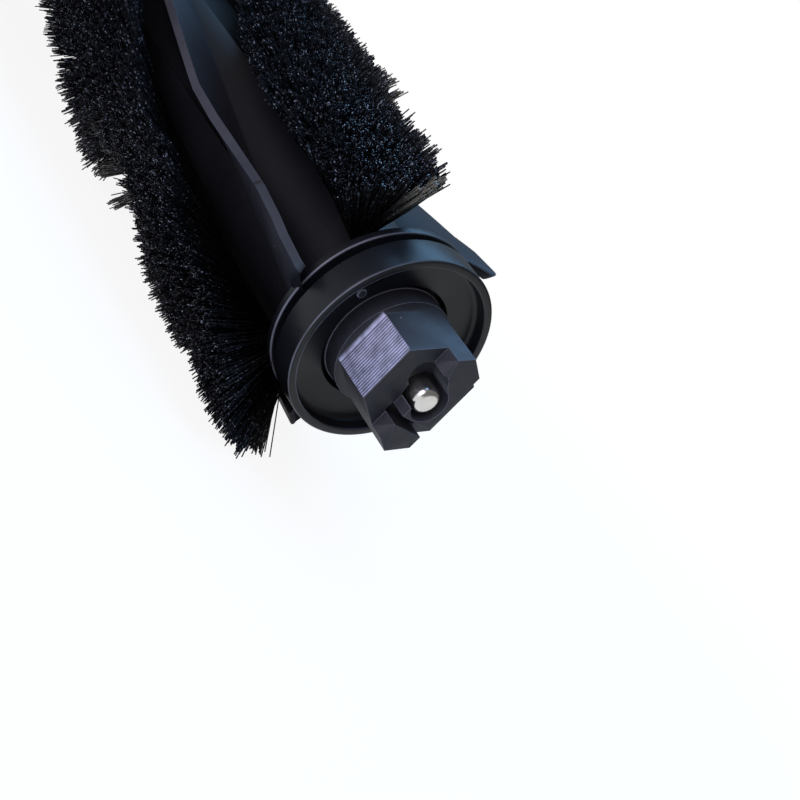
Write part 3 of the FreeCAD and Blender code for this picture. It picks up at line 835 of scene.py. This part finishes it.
def makeBristleTree(p):
    tree = bpy.data.node_groups.new("bristleRow", "GeometryNodeTree")
    sockets = {"Geometry": "Geometry", "Density": "Float"}
    sockets.update((name, "Float") for name in p["inputs"])
    sockets.update({"Seed": "Int", "Material": "Material"})
    for name, kind in sockets.items():
        tree.interface.new_socket(name, in_out="INPUT", socket_type="NodeSocket" + kind)
    tree.interface.new_socket("Geometry", in_out="OUTPUT", socket_type="NodeSocketGeometry")
    given = tree.nodes.new("NodeGroupInput").outputs
    result = tree.nodes.new("NodeGroupOutput").inputs

    def randomVector(offset):
        seed = mathNode(tree, "ADD", given["Seed"], offset)
        inputs = {"Seed": seed, 0: (-1.0, -1.0, -1.0), 1: (1.0, 1.0, 1.0)}
        return addNode(tree, "FunctionNodeRandomValue", inputs, data_type="FLOAT_VECTOR").outputs[0]

    def randomNumber(offset):
        seed = mathNode(tree, "ADD", given["Seed"], offset)
        return addNode(tree, "FunctionNodeRandomValue", {"Seed": seed}, data_type="FLOAT").outputs[1]

    def named(name):
        made = addNode(tree, "GeometryNodeInputNamedAttribute", {"Name": name}, data_type="FLOAT_VECTOR")
        return made.outputs[0]

    def store(geometry, name, value, kind="FLOAT_VECTOR"):
        inputs = {"Geometry": geometry, "Name": name, "Value": value}
        made = addNode(tree, "GeometryNodeStoreNamedAttribute", inputs, data_type=kind, domain="POINT")
        return made.outputs[0]

    def step(kind, **inputs):
        return addNode(tree, kind, {name.replace("_", " "): v for name, v in inputs.items()}).outputs[0]

    points = step(
        "GeometryNodeDistributePointsOnFaces",
        Mesh=given["Geometry"], Density=given["Density"], Seed=given["Seed"],
    )
    root = addNode(tree, "GeometryNodeInputPosition").outputs[0]
    aim = named("tipSpot")
    # neighbours lean together, into wide tufts and again into small clumps
    for share, size in (("Tuft", "Tuft Size"), ("Clump", "Clump Size")):
        scale = mathNode(tree, "DIVIDE", 1.0, given[size])
        cells = addNode(tree, "ShaderNodeTexVoronoi", {"Vector": aim, "Scale": scale})
        pull = vectorNode(tree, "SUBTRACT", cells.outputs["Position"], aim)
        aim = vectorNode(tree, "ADD", aim, vectorNode(tree, "SCALE", pull, scale=given[share]))
    astray = mathNode(tree, "LESS_THAN", randomNumber(4), given["Stray"])
    wander = mathNode(tree, "ADD", 1.0, mathNode(tree, "MULTIPLY", astray, p["strayMore"]))
    wander = mathNode(tree, "MULTIPLY", given["Jitter"], wander)
    aim = vectorNode(tree, "ADD", aim, vectorNode(tree, "SCALE", randomVector(1), scale=wander))
    less = mathNode(tree, "POWER", randomNumber(2), p["shorterPower"])
    less = mathNode(tree, "MULTIPLY", less, given["Shorter"])
    kept = mathNode(tree, "SUBTRACT", 1.0, less)
    reach = vectorNode(tree, "SCALE", vectorNode(tree, "SUBTRACT", aim, root), scale=kept)
    # no tip goes through the floor
    inputs = {0: p["farBelow"], 1: p["farBelow"], 2: given["Floor"]}
    lowest = addNode(tree, "ShaderNodeCombineXYZ", inputs).outputs[0]
    tip = vectorNode(tree, "MAXIMUM", vectorNode(tree, "ADD", root, reach), lowest)
    reach = vectorNode(tree, "SUBTRACT", tip, root)
    bow = vectorNode(tree, "SCALE", randomVector(3), scale=given["Bend"])
    for name, value in (("rootSpot", root), ("reach", reach), ("bow", bow)):
        points = store(points, name, value)
    # a line on every point, bent to its own reach and bow
    line = step("GeometryNodeCurvePrimitiveLine")
    line = step("GeometryNodeResampleCurve", Curve=line, Count=p["lineSpots"])
    lines = step("GeometryNodeInstanceOnPoints", Points=points, Instance=line)
    lines = step("GeometryNodeRealizeInstances", Geometry=lines)
    along = addNode(tree, "GeometryNodeSplineParameter").outputs["Factor"]
    straight = vectorNode(tree, "SCALE", named("reach"), scale=along)
    straight = vectorNode(tree, "ADD", named("rootSpot"), straight)
    sag = mathNode(tree, "MULTIPLY", along, mathNode(tree, "SUBTRACT", 1.0, along))
    place = vectorNode(tree, "ADD", straight, vectorNode(tree, "SCALE", named("bow"), scale=sag))
    slim = mathNode(tree, "SUBTRACT", 1.0, mathNode(tree, "MULTIPLY", along, p["slimmer"]))
    lines = step("GeometryNodeSetPosition", Geometry=lines, Position=place)
    lines = step("GeometryNodeSetCurveRadius", Curve=lines, Radius=slim)
    lines = store(lines, "alongBristle", along, "FLOAT")
    section = step("GeometryNodeCurvePrimitiveCircle", Resolution=p["sides"], Radius=given["Thickness"])
    tubes = step("GeometryNodeCurveToMesh", Curve=lines, Profile_Curve=section, Fill_Caps=True)
    for name in ("rootSpot", "reach", "bow", "tipSpot"):
        tubes = step("GeometryNodeRemoveAttribute", Geometry=tubes, Name=name)
    whole = step("GeometryNodeRealizeInstances", Geometry=tubes)
    painted = step("GeometryNodeSetMaterial", Geometry=whole, Material=given["Material"])
    tree.links.new(painted, result["Geometry"])
    return tree


bristleTree = makeBristleTree(bristles)


# strip on top of a spine that tells each bristle where its tip belongs
def rowGuide(name, step, start, end, p, row):
    mesh = bpy.data.meshes.new(name)
    spots, tips, paintedLight, faces = [], [], [], []

    def addSpot(y, v, tipAlong, turn, radius, tipBacklight):
        foot = beside(rootAngle(y) + step, p["spineRadius"], v * p["spineHalf"])
        tip = polar(radius, turn + restTurn + step)
        spots.append((foot.x, y, foot.y))
        tips.append((tip.x, tipAlong, tip.y))
        paintedLight.append(tipBacklight)

    for y in spread(start, end, p["stations"]):
        inward = fromEnd(y) - fromEnd(p["first"])
        lean = row["lean"] * mm * max(0.0, 1.0 - inward / p["leanOver"]) ** 2
        for v in spread(1.0, -1.0, p["columns"]):
            push = lean * (1.0 - row["leanLess"] * max(0.0, v) ** 2)
            tipAlong = y - push if y < midLength else y + push
            place = min(tipAlong, vPath["rimSpan"] - tipAlong) / mm
            lower, upper, radius = between(row["edges"], place)
            turn = (lower + upper) / 2 + v * (upper - lower) / 2
            addSpot(y, v, tipAlong, turn, radius * mm, 0.0)
    count = p["columns"]
    for i in range(p["stations"] - 1):
        for j in range(count - 1):
            a = i * count + j
            faces.append((a, a + 1, a + count + 1, a + count))
    # single tufts that stand off the row
    for foot, tipAlong, turn, radius, tipBacklight in row["strays"]:
        corners = []
        for end, v in p["strayCorners"]:
            corners.append(len(spots))
            shift = end * p["strayHalf"]
            tipTurn = turn + p["strayFan"] * v
            addSpot(foot * mm + shift, v, tipAlong * mm + shift, tipTurn, radius * mm, tipBacklight)
        faces.append(corners)
    mesh.from_pydata(spots, [], faces)
    mesh.attributes.new("tipSpot", "FLOAT_VECTOR", "POINT")
    mesh.attributes.new("paintedLight", "FLOAT", "POINT")
    for i in range(len(spots)):
        mesh.attributes["tipSpot"].data[i].vector = tips[i]
        mesh.attributes["paintedLight"].data[i].value = paintedLight[i]
    return addObject(name, mesh)


def bakeModifiers(piece):
    graph = bpy.context.evaluated_depsgraph_get()
    made = bpy.data.meshes.new_from_object(piece.evaluated_get(graph))
    piece.modifiers.clear()
    old = piece.data
    piece.data = made
    bpy.data.meshes.remove(old)
    made.name = piece.name


def makeRow(name, step, start, end, seed, p, row):
    piece = rowGuide(name, step, start, end, p, row)
    modifier = piece.modifiers.new("bristles", "NODES")
    modifier.node_group = bristleTree
    values = dict(p["inputs"], Density=row["Density"], Seed=seed, Material=bristleMaterial)
    for item in bristleTree.interface.items_tree:
        if item.in_out == "INPUT" and item.name in values:
            modifier[item.identifier] = values[item.name]
    bakeModifiers(piece)
    return piece


def refinish(node, material):
    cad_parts[node].data.materials.clear()
    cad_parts[node].data.materials.append(material)


for index, letter in enumerate("abc"):
    for half, (start, end) in halvesFrom(bristles["first"]).items():
        name = "bristleRow_%s_%s" % (letter, half)
        row = rowShapes[nearShapes[letter] if half == "near" else "plain"]
        step = (index + 0.5) * vPath["stripTurn"]
        seed = bristles["seed"] + index * 2 + (half == "far")
        piece = makeRow(name, step, start, end, seed, bristles, row)
        standFor(piece, "bristle_row_%s_%s" % (letter, half), "roller")
        refinish("bristle_spine_%s_%s" % (letter, half), darkFinish["spinePaintedShade"])
refinish("thrust_washer", steelMaterial)
print("rows made")

# pale floor, white surround and soft studio light

studio = {
    "floorSize": 6.0,
    "floorColour": (0.9, 0.9, 0.9, 1.0),
    "floorRough": 0.9,
    "shadowKept": 0.1,
    "shadowFades": (0.1, 0.3),
    "floorGloss": 1.0,
    "skyGloss": 0.2,
    "surround": 0.3,
    "lampAim": (0.0, 0.02, 0.0),
    "lampAway": 0.6,
}

# "from" is counted along the camera's right, up and back
lamps = {
    "coolKey": {
        "from": (0.62, 0.78, -0.02), "size": 0.8, "watts": 7.5, "colour": (0.28, 0.6, 1.0),
    },
    "rosyFill": {
        "from": (-0.27, 0.54, 0.8), "size": 0.35, "watts": 1.5, "colour": (0.84, 0.79, 1.0),
    },
    "frontSoft": {
        "from": (-0.1, 0.25, 1.0), "size": 0.5, "watts": 1.6, "colour": (0.92, 0.9, 1.0),
    },
}


# share of white that a ray gets: all for the camera's own, some for reflections
def seenStrength(tree, path, gloss):
    seen = mathNode(tree, "MAXIMUM", path["Is Camera Ray"], path["Is Transmission Ray"])
    mirrored = mathNode(tree, "MULTIPLY", path["Is Glossy Ray"], gloss)
    return mathNode(tree, "MAXIMUM", seen, mirrored)


def makeFloor(p):
    half = p["floorSize"] / 2
    mesh = bpy.data.meshes.new("studioFloor")
    corners = [(x * half, y * half, cadBox[0].z) for x, y in ((-1, -1), (1, -1), (1, 1), (-1, 1))]
    mesh.from_pydata(corners, [], [(0, 1, 2, 3)])
    floor = addObject("studioFloor", mesh)
    material, tree, shader = newMaterial("studioFloor")
    shader.inputs["Base Color"].default_value = p["floorColour"]
    shader.inputs["Roughness"].default_value = p["floorRough"]
    glow = addNode(tree, "ShaderNodeEmission", {"Color": white, "Strength": 1.0}).outputs[0]
    # the floor keeps part of the object's shadow near the object, and none far away
    away = vectorNode(tree, "LENGTH", objectSpot(tree))
    fade = mapRange(tree, away, p["shadowFades"], (1.0 - p["shadowKept"], 1.0))
    path = addNode(tree, "ShaderNodeLightPath").outputs
    share = mathNode(tree, "MULTIPLY", seenStrength(tree, path, p["floorGloss"]), fade)
    mixed = addNode(tree, "ShaderNodeMixShader", {0: share, 1: shader.outputs[0], 2: glow})
    tree.links.new(mixed.outputs[0], tree.nodes["Material Output"].inputs["Surface"])
    mesh.materials.append(material)


def makeWorld(p):
    world = bpy.data.worlds.new("studioWorld")
    world.use_nodes = True
    tree = world.node_tree
    background = tree.nodes["Background"].inputs
    path = addNode(tree, "ShaderNodeLightPath").outputs
    plain = mathNode(tree, "MULTIPLY", path["Is Diffuse Ray"], p["surround"])
    strength = mathNode(tree, "MAXIMUM", seenStrength(tree, path, p["skyGloss"]), plain)
    tree.links.new(strength, background["Strength"])
    background["Color"].default_value = white
    bpy.context.scene.world = world


def makeLamp(name, p):
    right, up, back = p["from"]
    direction = camRight * right + camUp * up + camBack * back
    data = bpy.data.lights.new(name, "AREA")
    data.shape = "DISK"
    data.size = p["size"]
    data.energy = p["watts"]
    data.color = p["colour"]
    lamp = addObject(name, data)
    lamp.location = Vector(studio["lampAim"]) + direction.normalized() * studio["lampAway"]
    lamp.rotation_mode = "QUATERNION"
    lamp.rotation_quaternion = (-direction).to_track_quat("-Z", "Y")


makeFloor(studio)
makeWorld(studio)
for name, p in lamps.items():
    makeLamp(name, p)
bpy.context.scene.view_settings.view_transform = "Standard"
print("studio set")
